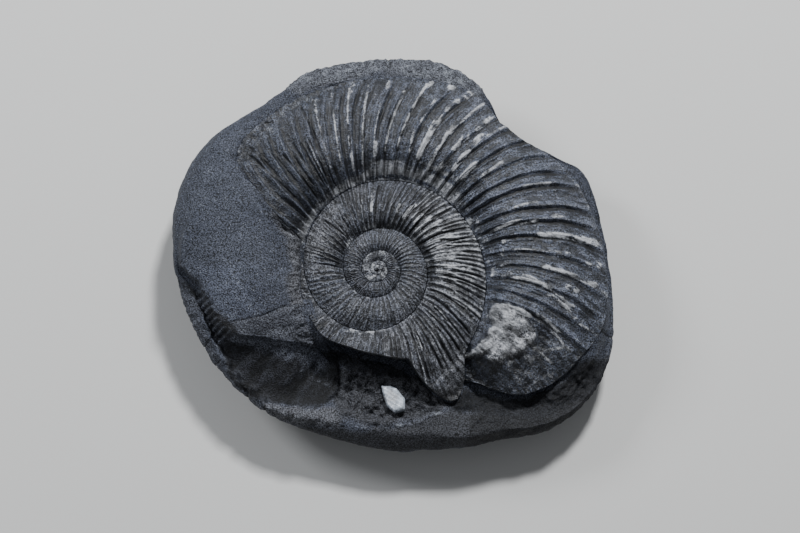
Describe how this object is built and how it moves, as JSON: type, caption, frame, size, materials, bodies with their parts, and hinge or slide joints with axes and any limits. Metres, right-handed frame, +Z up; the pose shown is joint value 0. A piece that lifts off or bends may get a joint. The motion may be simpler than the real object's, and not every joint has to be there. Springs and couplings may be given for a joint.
{
  "type": "ammonite fossil in matrix",
  "caption": "Coiled, ribbed ammonite shell in the broken face of a dark stone nodule, with a smooth cap, a mould hollow and a white crystal chip; lies on its rounded underside.",
  "frame": {"origin": "on the surface that the stone lies on, under the middle of its outline", "axes": "+Z up out of the face that shows the shell; +X to the right across the longest side, towards the shell's last whorl; +Y away from the viewer"},
  "size_m": [0.0664, 0.06, 0.0165],
  "materials": {
    "matrix_stone": "matte fine-grained dark grey stone",
    "fossil_shell": "satin grey with pale worn rib crests",
    "calcite_crystal": "white crystal with a soft gloss"
  },
  "bodies": {
    "root": {"matrix": "matrix_stone", "ammonite": "fossil_shell", "calcite": "calcite_crystal"}
  },
  "joints": []
}
